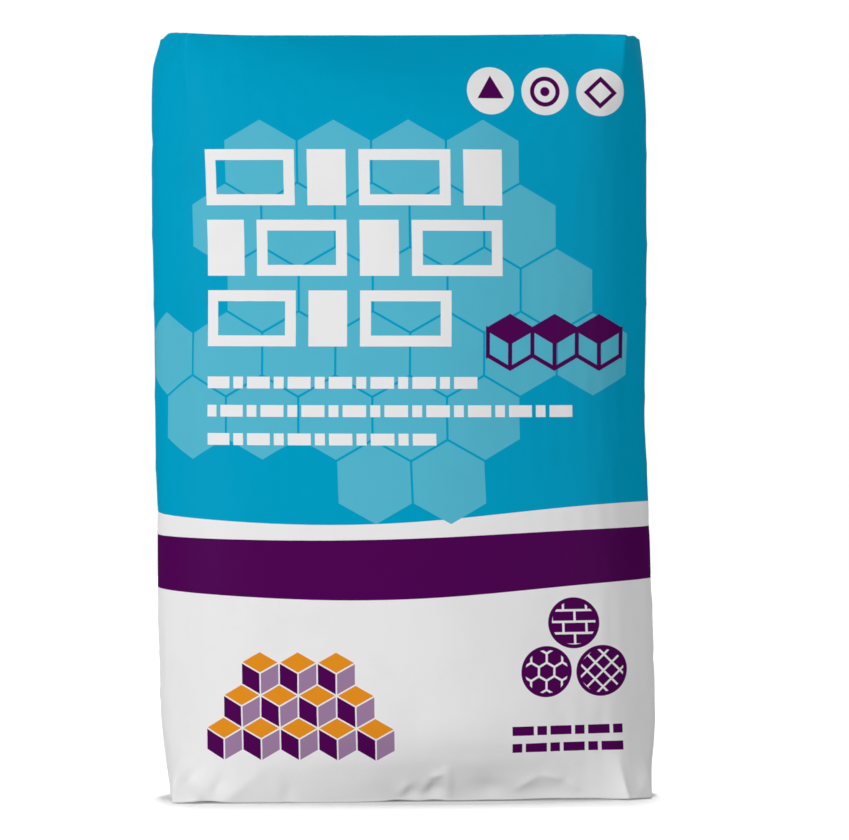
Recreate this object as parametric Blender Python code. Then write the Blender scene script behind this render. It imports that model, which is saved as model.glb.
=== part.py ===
"""A filled block-bottom paper cement sack that stands on its bottom end.

Metres, +Z up. X runs across the sack's width and Y through its depth, with the front at -Y.
The origin lies on the floor, under the middle of the sack.
"""

import math

import bmesh
import bpy
import numpy as np

# Overall size of the filled sack
SACK_HEIGHT = 0.468
MIDDLE_HALF_WIDTH = 0.151
MIDDLE_HALF_DEPTH = 0.065
PILLOW_EXPONENT = 2.6

# Each block end is a long hexagon: two straight folds with a low point between them at either side
END_HALF_FOLD = 0.135
END_HALF_DEPTH = 0.0475
END_POINT = 0.012

# How the round middle grows out of the flat ends, and how the cement has settled
STRAIGHT_SLOPE = 0.020
SLOPE_END = 0.055
BELLY_DEPTH = 0.0025
BELLY_HEIGHT = 0.150
LEAN = 0.007
LEAN_HEIGHT = 0.220
LEAN_EXPONENT = 1.3

# The paper pieces on the ends
GAP = 0.0003
PATCH_THICKNESS = 0.0006
PATCH_LENGTH = 0.262
PATCH_WIDTH = 0.086
SLEEVE_THICKNESS = 0.0012
SLEEVE_WIDTH = 0.076
SLEEVE_LENGTH = 0.085
POCKET_OVERRUN = 0.012

# Points round one quarter of the outline, and the levels between floor and top
FOLD_STEPS = 7
SIDE_STEPS = 4
LEVELS = 20

# Printed fields of the front, from the bottom up, as heights of their upper edges
FOOT_TOP = 0.124
BAND_TOP = 0.160
LINE_TOP = 0.170

BODY_BOTTOM = PATCH_THICKNESS + GAP
BODY_TOP = SACK_HEIGHT - PATCH_THICKNESS - GAP
POINT_X = END_HALF_FOLD + END_POINT


def clear_scene():
    for old in list(bpy.data.objects):
        bpy.data.objects.remove(old)


def new_collection(name):
    collection = bpy.data.collections.new(name)
    bpy.context.scene.collection.children.link(collection)
    return collection


def paper(name, colour, roughness):
    material = bpy.data.materials.new(name)
    material.use_nodes = True
    shader = material.node_tree.nodes["Principled BSDF"]
    shader.inputs["Base Color"].default_value = (*colour, 1.0)
    shader.inputs["Roughness"].default_value = roughness
    shader.inputs["Metallic"].default_value = 0.0
    return material


# Outlines of the sack, seen from above


def end_quarter():
    """A quarter of a block end, from the middle of a fold to the point at its side, and its shares."""
    points = [(END_HALF_FOLD * i / FOLD_STEPS, END_HALF_DEPTH) for i in range(FOLD_STEPS)]
    for i in range(SIDE_STEPS + 1):
        share = i / SIDE_STEPS
        points.append((END_HALF_FOLD + END_POINT * share, END_HALF_DEPTH * (1 - share)))
    points = np.array(points)
    return points, way_along(points)


def way_along(points):
    steps = np.hypot(*np.diff(points, axis=0).T)
    way = np.concatenate([[0.0], np.cumsum(steps)])
    return way / way[-1]


def pillow_quarter(half_width, half_depth, shares):
    """The rounded section at those shares of the way from the middle of a face to that of a side."""
    angle = np.linspace(0, math.pi / 2, 400)
    curve = np.column_stack(
        [
            half_width * np.sin(angle) ** (2 / PILLOW_EXPONENT),
            half_depth * np.cos(angle) ** (2 / PILLOW_EXPONENT),
        ]
    )
    way = way_along(curve)
    return np.column_stack([np.interp(shares, way, curve[:, k]) for k in (0, 1)])


def whole_ring(quarter):
    """The full outline from one quarter, counter-clockwise from the middle of the front."""
    right_front = quarter * (1, -1)
    right_back = quarter[::-1] * (1, 1)
    left_back = quarter * (-1, 1)
    left_front = quarter[::-1] * (-1, -1)
    return np.concatenate([part[:-1] for part in (right_front, right_back, left_back, left_front)])


def swell(height):
    """How far the section has rounded out, from 0 at a block end to 1 in the middle.

    The paper slopes straight away from a block end, and then eases into the upright.
    """
    from_end = min(height - BODY_BOTTOM, BODY_TOP - height, SLOPE_END)
    easing = SLOPE_END - STRAIGHT_SLOPE
    eased = max(from_end - STRAIGHT_SLOPE, 0.0)
    return (from_end - eased**2 / (2 * easing)) / (STRAIGHT_SLOPE + easing / 2)


def lean(height):
    """The sack has slumped, so its foot stands a little to the right of the rest."""
    return LEAN * max(0.0, 1 - height / LEAN_HEIGHT) ** LEAN_EXPONENT


def belly(height):
    """The cement has settled, so the lower half is deeper than the upper one."""
    return BELLY_DEPTH * math.exp(-(((height - BELLY_HEIGHT) / BELLY_HEIGHT) ** 2))


def ring_at(height):
    block, shares = end_quarter()
    pillow = pillow_quarter(MIDDLE_HALF_WIDTH, MIDDLE_HALF_DEPTH + belly(height), shares)
    quarter = block + (pillow - block) * swell(height)
    ring = whole_ring(quarter) + (lean(height), 0)
    return np.column_stack([ring, np.full(len(ring), height)])


def levels():
    """Heights of the sections, close together near the ends, where the paper bends most."""
    shares = [(1 - math.cos(math.pi * i / LEVELS)) / 2 for i in range(LEVELS + 1)]
    return [BODY_BOTTOM + (BODY_TOP - BODY_BOTTOM) * share for share in shares]


# The solids


def link_mesh(mesh_builder, name, collection, materials):
    """Writes a bmesh to a new named object."""
    mesh = bpy.data.meshes.new(name)
    mesh_builder.to_mesh(mesh)
    mesh_builder.free()
    for material in materials:
        mesh.materials.append(material)
    made = bpy.data.objects.new(name, mesh)
    collection.objects.link(made)
    return made


def printed_field(height):
    """The material slot of a face at that height: foot, band, line or field."""
    edges = (FOOT_TOP, BAND_TOP, LINE_TOP)
    return (0, 1, 0, 2)[sum(height > edge for edge in edges)]


def sack_body(rings, collection, materials):
    """The paper tube with the cement in it, lofted from one block end to the other."""
    builder = bmesh.new()
    loops = []
    for ring in rings:
        corners = [builder.verts.new(point) for point in ring]
        loops.append([builder.edges.new(pair) for pair in zip(corners, corners[1:] + corners[:1])])
    for lower, upper in zip(loops, loops[1:]):
        bmesh.ops.bridge_loops(builder, edges=lower + upper)
    for end in (loops[0], loops[-1]):
        bmesh.ops.edgeloop_fill(builder, edges=end)
    bmesh.ops.recalc_face_normals(builder, faces=builder.faces)
    for face in builder.faces:
        face.smooth = len(face.verts) == 4
        face.material_index = printed_field(face.calc_center_median().z)
    return link_mesh(builder, "sack_body", collection, materials)


def paper_plate(name, outline, bottom, thickness, collection, material):
    """A flat piece of paper of that outline, lying with its underside at that height."""
    curve = bpy.data.curves.new(name, "CURVE")
    curve.dimensions = "2D"
    curve.fill_mode = "BOTH"
    curve.extrude = thickness / 2
    spline = curve.splines.new("POLY")
    spline.points.add(len(outline) - 1)
    for point, (x, y) in zip(spline.points, outline):
        point.co = (x, y, 0, 1)
    spline.use_cyclic_u = True
    curve.materials.append(material)
    made = bpy.data.objects.new(name, curve)
    made.location.z = bottom + thickness / 2
    collection.objects.link(made)
    return made


def rectangle(low_x, high_x, half_width):
    return [(low_x, -half_width), (high_x, -half_width), (high_x, half_width), (low_x, half_width)]


def sleeve_outline(middle_x):
    """The valve sleeve ends flush with the two slanting short edges of the block end."""
    half = SLEEVE_WIDTH / 2
    point = middle_x - POINT_X + GAP
    shoulder = point + END_POINT * half / END_HALF_DEPTH
    inner = point + SLEEVE_LENGTH
    return [(inner, half), (shoulder, half), (point, 0), (shoulder, -half), (inner, -half)]


def cut_valve_pocket(body, middle_x, cutters):
    """The shallow seat for the valve sleeve, open at the left end of the top."""
    depth = SLEEVE_THICKNESS + GAP
    low_x = middle_x - POINT_X - POCKET_OVERRUN
    high_x = middle_x - POINT_X + GAP + SLEEVE_LENGTH + GAP
    size = (high_x - low_x, SLEEVE_WIDTH + 2 * GAP, depth + POCKET_OVERRUN)
    centre = ((low_x + high_x) / 2, 0, BODY_TOP + (POCKET_OVERRUN - depth) / 2)
    builder = bmesh.new()
    bmesh.ops.create_cube(builder, size=1.0)
    bmesh.ops.scale(builder, vec=size, verts=builder.verts)
    bmesh.ops.translate(builder, vec=centre, verts=builder.verts)
    cutter = link_mesh(builder, "valve_pocket_cutter", cutters, ())
    cutter.hide_render = True
    cutter.display_type = "WIRE"
    pocket = body.modifiers.new("valve pocket", "BOOLEAN")
    pocket.operation = "DIFFERENCE"
    pocket.object = cutter


def build():
    clear_scene()
    parts = new_collection("cement_sack")
    cutters = new_collection("cutters")
    pale = paper("pale printed paper", (0.79, 0.79, 0.80), 0.45)
    purple = paper("purple printed paper", (0.075, 0.002, 0.082), 0.40)
    blue = paper("blue printed paper", (0.0, 0.33, 0.54), 0.40)
    white = paper("white patch paper", (0.80, 0.79, 0.77), 0.55)
    kraft = paper("brown kraft paper", (0.42, 0.26, 0.13), 0.75)

    rings = [ring_at(height) for height in levels()]
    across = np.concatenate(rings)[:, 0]
    shift = (across.min() + across.max()) / 2
    rings = [ring - (shift, 0, 0) for ring in rings]

    body = sack_body(rings, parts, (pale, purple, blue))
    top_x = lean(BODY_TOP) - shift
    bottom_x = lean(BODY_BOTTOM) - shift
    cut_valve_pocket(body, top_x, cutters)
    sleeve_bottom = BODY_TOP - SLEEVE_THICKNESS
    paper_plate("valve_sleeve", sleeve_outline(top_x), sleeve_bottom, SLEEVE_THICKNESS, parts, kraft)
    for name, middle_x, bottom in (
        ("top_patch", top_x, BODY_TOP + GAP),
        ("bottom_patch", bottom_x, 0.0),
    ):
        outline = rectangle(middle_x - PATCH_LENGTH / 2, middle_x + PATCH_LENGTH / 2, PATCH_WIDTH / 2)
        paper_plate(name, outline, bottom, PATCH_THICKNESS, parts, white)


build()
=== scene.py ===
# %% [markdown]
# # A filled paper cement sack
#
# A cement sack starts as a tube of strong paper. Each end of the tube is folded into a flat block and
# pasted shut under a cover sheet, and the cement is blown in through a small paper valve in one corner
# of the top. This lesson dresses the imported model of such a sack. It builds the paper on a grid that
# knows how far round and how far up the tube each point lies, lets a cloth simulation settle it, presses
# in the creases, and prints on it with shader nodes.

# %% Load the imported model
import math

import bpy
import numpy as np
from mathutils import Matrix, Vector


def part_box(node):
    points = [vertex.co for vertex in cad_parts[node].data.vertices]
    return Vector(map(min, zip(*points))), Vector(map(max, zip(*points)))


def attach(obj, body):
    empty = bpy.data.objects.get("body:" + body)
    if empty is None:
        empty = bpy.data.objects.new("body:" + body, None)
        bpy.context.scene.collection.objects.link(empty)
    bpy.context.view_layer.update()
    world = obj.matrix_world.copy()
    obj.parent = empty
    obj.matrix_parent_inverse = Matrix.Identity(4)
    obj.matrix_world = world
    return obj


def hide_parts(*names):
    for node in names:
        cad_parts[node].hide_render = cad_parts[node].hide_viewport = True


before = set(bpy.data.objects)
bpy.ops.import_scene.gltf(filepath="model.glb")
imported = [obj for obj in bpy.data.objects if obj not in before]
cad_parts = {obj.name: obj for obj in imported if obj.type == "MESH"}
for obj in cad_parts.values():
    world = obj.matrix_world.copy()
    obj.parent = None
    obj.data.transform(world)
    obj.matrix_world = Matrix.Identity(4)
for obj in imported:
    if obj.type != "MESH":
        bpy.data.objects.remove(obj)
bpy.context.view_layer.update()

BODY_LOW, BODY_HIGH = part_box("sack_body")
PATCH_LOW, PATCH_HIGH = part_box("top_patch")
FOOT_LOW, FOOT_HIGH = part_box("bottom_patch")
SLEEVE_LOW, SLEEVE_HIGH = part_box("valve_sleeve")

# %% [markdown]
# ## Camera
#
# The picture is taken with a long lens from a little left of straight ahead, a bit above the middle of
# the sack. A long lens keeps the upright edges parallel. The scale of the picture, in metres to a pixel,
# gives the lens once the distance is chosen.

# %% Place the camera
IMAGE_WIDTH = 849
METRES_PER_PIXEL = 0.000618
SACK_RIGHT_OF_MIDDLE_PX = -21.5
CAMERA_AZIMUTH = math.radians(-5.0)
CAMERA_DISTANCE = 3.6
CAMERA_HEIGHT = 0.30
AIM_HEIGHT = 0.2325


def towards(azimuth):
    """The direction from the sack towards a place at that azimuth, where 0 is straight in front of it."""
    return Vector((math.sin(azimuth), -math.cos(azimuth), 0.0))


def point_at(thing, target):
    """Turns a camera or a light so that it looks at that point."""
    thing.rotation_euler = (Vector(target) - thing.location).to_track_quat("-Z", "Y").to_euler()


def add_camera():
    data = bpy.data.cameras.new("camera")
    data.lens = data.sensor_width * CAMERA_DISTANCE / (IMAGE_WIDTH * METRES_PER_PIXEL)
    camera = bpy.data.objects.new("camera", data)
    bpy.context.scene.collection.objects.link(camera)
    sideways = towards(CAMERA_AZIMUTH + math.pi / 2) * -SACK_RIGHT_OF_MIDDLE_PX * METRES_PER_PIXEL
    aim = sideways + Vector((0.0, 0.0, AIM_HEIGHT))
    camera.location = aim + towards(CAMERA_AZIMUTH) * CAMERA_DISTANCE
    camera.location.z = CAMERA_HEIGHT
    point_at(camera, aim)
    bpy.context.scene.camera = camera
    print("lens in mm:", round(data.lens, 1))


add_camera()

# %% [markdown]
# ## The shape of the paper, as sections
#
# Seen from above, a block end is a long hexagon: two straight folds, and a low point at either side.
# Further in, the cement rounds the tube into a pillow. Paper does not stretch, so both outlines are
# divided into equal shares of their length, and a point keeps its share on the way up. One curve says
# how fast the hexagon turns into the pillow, and others add the settled belly and the slight lean.

# %% Outline of a block end and of the full middle
END_HALF_FOLD = 0.135
END_HALF_DEPTH = 0.0475
END_POINT = 0.012
MIDDLE_HALF_WIDTH = 0.151
MIDDLE_HALF_DEPTH = 0.065
PILLOW_EXPONENT = 2.6
STRAIGHT_SLOPE = 0.020
SLOPE_END = 0.055
BELLY_DEPTH = 0.0025
BELLY_HEIGHT = 0.150
LEAN = 0.007
LEAN_HEIGHT = 0.220
LEAN_EXPONENT = 1.3
CURVE_STEPS = 600


def way_along(points):
    """The share of an outline's length that lies before each of its points."""
    steps = np.hypot(*np.diff(points, axis=0).T)
    way = np.concatenate([[0.0], np.cumsum(steps)])
    return way / way[-1]


def end_quarter(fold_steps, side_steps):
    """A quarter of the hexagon, from the middle of a fold to the point at its side."""
    fold = [(END_HALF_FOLD * i / fold_steps, END_HALF_DEPTH) for i in range(fold_steps)]
    shares = np.linspace(0, 1, side_steps + 1)
    side = [(END_HALF_FOLD + END_POINT * share, END_HALF_DEPTH * (1 - share)) for share in shares]
    points = np.array(fold + side)
    return points, way_along(points)


def pillow_quarter(half_depth, shares):
    """The same shares of the way round a quarter of the full section."""
    angle = np.linspace(0, math.pi / 2, CURVE_STEPS)
    power = 2 / PILLOW_EXPONENT
    curve = np.column_stack(
        [MIDDLE_HALF_WIDTH * np.sin(angle) ** power, half_depth * np.cos(angle) ** power]
    )
    way = way_along(curve)
    return np.column_stack([np.interp(shares, way, column) for column in curve.T])


def whole_ring(quarter):
    """The full outline from one quarter, counter-clockwise from the middle of the front."""
    right_front = quarter * (1, -1)
    right_back = quarter[::-1]
    left_back = quarter * (-1, 1)
    left_front = quarter[::-1] * (-1, -1)
    return np.concatenate([part[:-1] for part in (right_front, right_back, left_back, left_front)])

# %% One section at a height
BODY_BOTTOM = BODY_LOW.z
BODY_TOP = BODY_HIGH.z
POINT_X = END_HALF_FOLD + END_POINT
TOP_X = (PATCH_LOW.x + PATCH_HIGH.x) / 2
FOOT_X = (FOOT_LOW.x + FOOT_HIGH.x) / 2


def swell(height):
    """0 at a block end and 1 in the middle: a straight slope at first, then an easing into the upright."""
    from_end = min(height - BODY_BOTTOM, BODY_TOP - height, SLOPE_END)
    easing = SLOPE_END - STRAIGHT_SLOPE
    eased = max(from_end - STRAIGHT_SLOPE, 0.0)
    return (from_end - eased**2 / (2 * easing)) / (STRAIGHT_SLOPE + easing / 2)


def lean(height):
    """The foot stands a little to the right of the rest, where the cement has slumped."""
    return TOP_X + LEAN * max(0.0, 1 - height / LEAN_HEIGHT) ** LEAN_EXPONENT


def belly(height):
    return BELLY_DEPTH * math.exp(-(((height - BELLY_HEIGHT) / BELLY_HEIGHT) ** 2))


def section(height, fold_steps, side_steps):
    """The points of the tube at that height, as x, y, z rows."""
    block, shares = end_quarter(fold_steps, side_steps)
    pillow = pillow_quarter(MIDDLE_HALF_DEPTH + belly(height), shares)
    ring = whole_ring(block + (pillow - block) * swell(height))
    ring[:, 0] += lean(height)
    return np.column_stack([ring, np.full(len(ring), height)])

# %% [markdown]
# ## Letting the paper settle
#
# Real sack paper buckles where the flat folded end has to become a round tube, mostly near the four
# corners of each end. Those buckles are hard to draw and easy to simulate. A coarse copy of the tube is
# made slightly too large for itself, held at both ends, and blown up a little by Blender's Cloth. Only
# how far each point moved is kept, and it is laid over the fine grid afterwards. The middle of each face
# keeps little of it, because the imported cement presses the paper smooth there.

# %% Simulate a coarse tube
COARSE_FOLD = 22
COARSE_SIDE = 8
COARSE_LEVELS = 75
FRAMES = 26
STEPS_A_FRAME = 8
SLACK_AT_ENDS = 0.020
SLACK_IN_MIDDLE = 0.25
SLACK_REACH = 0.060
PRESSURE = 3.0
PAPER_MASS = 0.3
STRETCH_STIFFNESS = 80.0
STRETCH_DAMPING = 20.0
BENDING_STIFFNESS = 4.0
BENDING_DAMPING = 2.0
AIR_DAMPING = 5.0
CALM = 0.75
CALM_REACH = 0.080


def tube_faces(rows, columns):
    """Quads of a closed tube whose points are numbered row by row."""
    row, column = np.meshgrid(np.arange(rows - 1), np.arange(columns), indexing="ij")
    right = (column + 1) % columns
    corners = [row * columns + column, row * columns + right]
    corners += [(row + 1) * columns + right, (row + 1) * columns + column]
    return np.stack(corners, axis=-1).reshape(-1, 4).tolist()


def mesh_object(name, points, faces):
    """A new object in the scene, from points and from faces that name them by number."""
    mesh = bpy.data.meshes.new(name)
    mesh.from_pydata(np.reshape(points, (-1, 3)).tolist(), [], faces)
    made = bpy.data.objects.new(name, mesh)
    bpy.context.scene.collection.objects.link(made)
    return made


def cloth_group(tube, name, weights):
    """A vertex group with one weight for each level of the tube."""
    group = tube.vertex_groups.new(name=name)
    columns = len(tube.data.vertices) // len(weights)
    for level, weight in enumerate(weights):
        group.add(range(level * columns, (level + 1) * columns), float(weight), "REPLACE")


def add_cloth(tube):
    """Cloth as stiff paper, held at both ends, with a little pressure inside and no weight."""
    cloth = tube.modifiers.new("paper", "CLOTH")
    cloth.collision_settings.use_collision = False
    cloth.point_cache.frame_end = FRAMES
    paper = cloth.settings
    paper.quality = STEPS_A_FRAME
    paper.mass = PAPER_MASS
    paper.bending_model = "ANGULAR"
    for way, stiffness, damping in (
        ("tension", STRETCH_STIFFNESS, STRETCH_DAMPING),
        ("compression", STRETCH_STIFFNESS, STRETCH_DAMPING),
        ("shear", STRETCH_STIFFNESS / 2, STRETCH_DAMPING),
        ("bending", BENDING_STIFFNESS, BENDING_DAMPING),
    ):
        setattr(paper, way + "_stiffness", stiffness)
        setattr(paper, way + "_damping", damping)
    paper.air_damping = AIR_DAMPING
    paper.vertex_group_mass = "held"
    paper.use_pressure = True
    paper.uniform_pressure_force = PRESSURE
    paper.vertex_group_shrink = "slack"
    paper.shrink_max = -SLACK_AT_ENDS
    paper.effector_weights.gravity = 0


def settle(points):
    """Where Cloth moves the points of the coarse tube."""
    rows, columns = points.shape[:2]
    ends = [list(range(columns))[::-1], list(range((rows - 1) * columns, rows * columns))]
    tube = mesh_object("settling tube", points, tube_faces(rows, columns) + ends)
    level = np.arange(rows)
    from_end = np.minimum(level, rows - 1 - level) / (rows - 1) * (BODY_TOP - BODY_BOTTOM)
    cloth_group(tube, "held", (from_end == 0) * 1.0)
    near_end = np.exp(-((from_end / SLACK_REACH) ** 2))
    cloth_group(tube, "slack", SLACK_IN_MIDDLE + (1 - SLACK_IN_MIDDLE) * near_end)
    add_cloth(tube)
    for number in range(1, FRAMES + 1):
        bpy.context.scene.frame_set(number)
    settled = tube.evaluated_get(bpy.context.evaluated_depsgraph_get()).data
    moved = np.empty(points.size, np.float32)
    settled.vertices.foreach_get("co", moved)
    bpy.context.scene.frame_set(1)
    bpy.data.objects.remove(tube)
    return moved.reshape(points.shape)


coarse_heights = np.linspace(BODY_BOTTOM, BODY_TOP, COARSE_LEVELS)
coarse = np.array([section(height, COARSE_FOLD, COARSE_SIDE) for height in coarse_heights])
drift = settle(coarse) - coarse
drift *= 1 - CALM * np.exp(-(((coarse[:, :, :1] - TOP_X) / CALM_REACH) ** 2))
print("paper moved at most", round(1000 * float(np.abs(drift).max()), 1), "mm")

# %% [markdown]
# ## The fine grid of paper
#
# The visible sack is one closed mesh: a grid round the tube, a rounded fold at either end, and a flat
# grid that fills each block end from its front fold to its back fold. Each point also gets its place on
# the flat paper, u round the tube and v up it, because everything that is printed or pressed into the
# paper follows the paper and not the room. The coarse drift is spread over it with smooth curves. The
# levels of the grid stand closer together near both folds, where the paper bends most.

# %% Spread the drift over the fine tube
FINER = 3
FOLD_RADIUS = 0.0011
CLOSER_AT_ENDS = 0.5


def smooth_weights(fine, coarse_count, closed):
    """Catmull-Rom weights that read a row of coarse values at fine places, counted in coarse steps."""
    start = np.floor(fine).astype(int)
    if not closed:
        start = np.clip(start, 0, coarse_count - 2)
    t = fine - start
    pieces = (
        (-t**3 + 2 * t**2 - t) / 2,
        (3 * t**3 - 5 * t**2 + 2) / 2,
        (-3 * t**3 + 4 * t**2 + t) / 2,
        (t**3 - t**2) / 2,
    )
    weights = np.zeros((len(fine), coarse_count))
    rows = np.arange(len(fine))
    for step, piece in zip((-1, 0, 1, 2), pieces):
        place = (start + step) % coarse_count if closed else np.clip(start + step, 0, coarse_count - 1)
        np.add.at(weights, (rows, place), piece)
    return weights


FOLD_STEPS = COARSE_FOLD * FINER
SIDE_STEPS = COARSE_SIDE * FINER
QUARTER = FOLD_STEPS + SIDE_STEPS
COLUMNS = 4 * QUARTER
LEVELS = (COARSE_LEVELS - 1) * FINER + 1
share = np.linspace(0, 1, LEVELS)
share -= CLOSER_AT_ENDS * np.sin(2 * math.pi * share) / (2 * math.pi)
heights = BODY_BOTTOM + FOLD_RADIUS + (BODY_TOP - BODY_BOTTOM - 2 * FOLD_RADIUS) * share
coarse_level = (heights - BODY_BOTTOM) / (BODY_TOP - BODY_BOTTOM) * (COARSE_LEVELS - 1)
across_levels = smooth_weights(coarse_level, COARSE_LEVELS, closed=False)
around = smooth_weights(np.arange(COLUMNS) / FINER, COLUMNS // FINER, closed=True)
tube = np.array([section(height, FOLD_STEPS, SIDE_STEPS) for height in heights])
tube += np.einsum("lr,rck,fc->lfk", across_levels, drift, around)
print("fine grid:", tube.shape[0], "levels of", tube.shape[1], "points")

# %% [markdown]
# ## The side lines
#
# Cement settles unevenly, so the two upright side lines of a filled sack wander in and out by up to three
# millimetres. A short list gives how far each line is moved at some heights. In between the moves are
# joined and smoothed, and the paper between the two lines is moved in proportion.

# %% Let the side lines wander
SIDE_LINES = np.array([
    # height, move of the left line, move of the right line, all to the right
    (0.003, 0.0002, 0.0018),
    (0.020, -0.0001, 0.0008),
    (0.055, -0.0006, 0.0013),
    (0.090, 0.0000, 0.0033),
    (0.165, 0.0012, 0.0033),
    (0.238, 0.0004, 0.0009),
    (0.294, 0.0006, 0.0016),
    (0.338, 0.0003, 0.0017),
    (0.390, -0.0011, 0.0017),
    (0.450, -0.0024, 0.0016),
    (0.465, 0.0007, 0.0010),
])
SMOOTHED_LEVELS = 4


def side_line(column):
    """How far one side line is moved at each level of the tube."""
    line = np.interp(heights, SIDE_LINES[:, 0], SIDE_LINES[:, column])
    window = np.hanning(2 * SMOOTHED_LEVELS + 3)[1:-1]
    padded = np.pad(line, SMOOTHED_LEVELS, mode="edge")
    return np.convolve(padded, window / window.sum(), mode="valid")[:, None]


left_line, right_line = side_line(1), side_line(2)
rightward = 0.5 + (tube[:, :, 0] - TOP_X) / (2 * MIDDLE_HALF_WIDTH)
tube[:, :, 0] += left_line * (1 - rightward) + right_line * rightward

# %% Where each point lies on the flat paper
PAPER_ROUND = 4 * (END_HALF_FOLD + math.hypot(END_POINT, END_HALF_DEPTH))
PAPER_UP = BODY_TOP - BODY_BOTTOM
END_RING = section(BODY_TOP, FOLD_STEPS, SIDE_STEPS)[:, :2]
END_STEPS = np.hypot(*(np.roll(END_RING, -1, axis=0) - END_RING).T)
ROUND = np.concatenate([[0.0], np.cumsum(END_STEPS)[:-1]])
UP = heights - BODY_BOTTOM


def nearest_way(from_u, to_u):
    """The distance round the tube, taken the short way, below 0 to the left."""
    return (to_u - from_u + PAPER_ROUND / 2) % PAPER_ROUND - PAPER_ROUND / 2


FOLD_CORNERS = [side * (END_HALF_FOLD if front else PAPER_ROUND / 2 - END_HALF_FOLD)
                for side in (-1, 1) for front in (True, False)]
SIDE_CREASES = (-PAPER_ROUND / 4, PAPER_ROUND / 4)
print("paper:", round(1000 * PAPER_ROUND), "mm round and", round(1000 * PAPER_UP), "mm up")

# %% [markdown]
# ## Creases and dents
#
# Paper creases are sharp where cloth folds are round, so they are pressed in by code. A crease is a line
# between two points of the paper, with a crest that falls off steeply to both sides. Every filled block
# sack has a crease down each narrow side, which meets two slanting creases from the fold corners.
#
# What the picture shows of the front is listed, in metres on the paper: small crumples and dents
# along the foot, a ridge in the bottom right corner, and the corners of both block ends. Soft hollows
# below the top fold and a broad upright swelling beside a broad upright hollow give the flat face its slow
# shading. The random creases of the sides and the back come from seeded numbers, as does the gentle
# unevenness of the whole.

# %% Tools that press shapes into the paper
CREST = 0.0009
UPRIGHT_FADE = 0.080
TAPER = 0.8
ARCH = 0.7
pressed = np.zeros(tube.shape[:2])


def press_crease(start, end, height, width, fades=True):
    """A sharp ridge between two points of the paper, or a groove where the height is below 0.

    It fades out towards its end, or towards both ends where fades is False.
    """
    run = np.array([nearest_way(start[0], end[0]), end[1] - start[1]])
    across = nearest_way(start[0], ROUND)[None, :]
    above = (UP - start[1])[:, None]
    along = np.clip((across * run[0] + above * run[1]) / (run @ run), 0, 1)
    away = np.hypot(across - along * run[0], above - along * run[1])
    arch = np.sin(math.pi * np.clip(along, 0.02, 0.98))
    strength = (1 - along) ** TAPER if fades else arch**ARCH
    pressed[:] += height * strength * np.exp((CREST - np.hypot(away, CREST)) / width)


def press_dent(centre, half_width, half_height, depth, turned):
    """A soft oval hollow, or a swelling where the depth is below 0."""
    across = nearest_way(centre[0], ROUND)[None, :]
    above = (UP - centre[1])[:, None]
    long_way = across * math.cos(turned) + above * math.sin(turned)
    short_way = above * math.cos(turned) - across * math.sin(turned)
    pressed[:] -= depth * np.exp(-((long_way / half_width) ** 2) - (short_way / half_height) ** 2)


def press_upright(centre_u, half_width, depth, foot_fade):
    """A hollow up the whole sack that fades out towards both folds, or a swelling below 0."""
    inward = np.clip(np.minimum(UP / foot_fade, (PAPER_UP - UP) / UPRIGHT_FADE), 0, 1)
    upright = inward**2 * (3 - 2 * inward)
    pressed[:] -= depth * upright[:, None] * np.exp(-((nearest_way(centre_u, ROUND) / half_width) ** 2))


def wander(rows, columns, size, seed):
    """Gentle random unevenness over the whole tube, with about that many bumps up and round."""
    values = np.random.default_rng(seed).normal(0, size, (rows, columns))
    up = smooth_weights(np.linspace(0, rows - 1, LEVELS), rows, closed=False)
    round_it = smooth_weights(ROUND / PAPER_ROUND * columns, columns, closed=True)
    return up @ values @ round_it.T

# %% Creases that every block sack has
SIDE_CREASE_UP = 0.150
SIDE_CREASE_DOWN = 0.130
SIDE_RIDGE, SIDE_FALL = 0.0011, 0.0045
SIDE_TRIANGLE = 0.058
SLANTING_RIDGE, SLANTING_FALL = 0.0010, 0.0040
CORNER_CREASE = 0.030
CORNER_RIDGE, CORNER_FALL = 0.0008, 0.0035
FAINT_IN_FRONT = 0.3
ENDS = (
    # height of the fold on the paper, direction from it into the sack
    (0.0, 1),
    (PAPER_UP, -1),
)
for crease_u in SIDE_CREASES:
    for low, high in ((0.0, SIDE_CREASE_UP), (PAPER_UP, PAPER_UP - SIDE_CREASE_DOWN)):
        press_crease((crease_u, low), (crease_u, high), SIDE_RIDGE, SIDE_FALL)
for corner_u in FOLD_CORNERS:
    side_u = min(SIDE_CREASES, key=lambda u: abs(nearest_way(u, corner_u)))
    for end, inward in ENDS:
        top_front = inward < 0 and abs(nearest_way(0, corner_u)) <= END_HALF_FOLD
        faint = FAINT_IN_FRONT if top_front else 1.0
        start = (corner_u, end)
        slanting_end = (side_u, end + inward * SIDE_TRIANGLE)
        press_crease(start, slanting_end, SLANTING_RIDGE * faint, SLANTING_FALL)
        upright_end = (corner_u, end + inward * CORNER_CREASE)
        press_crease(start, upright_end, CORNER_RIDGE * faint, CORNER_FALL)

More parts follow.
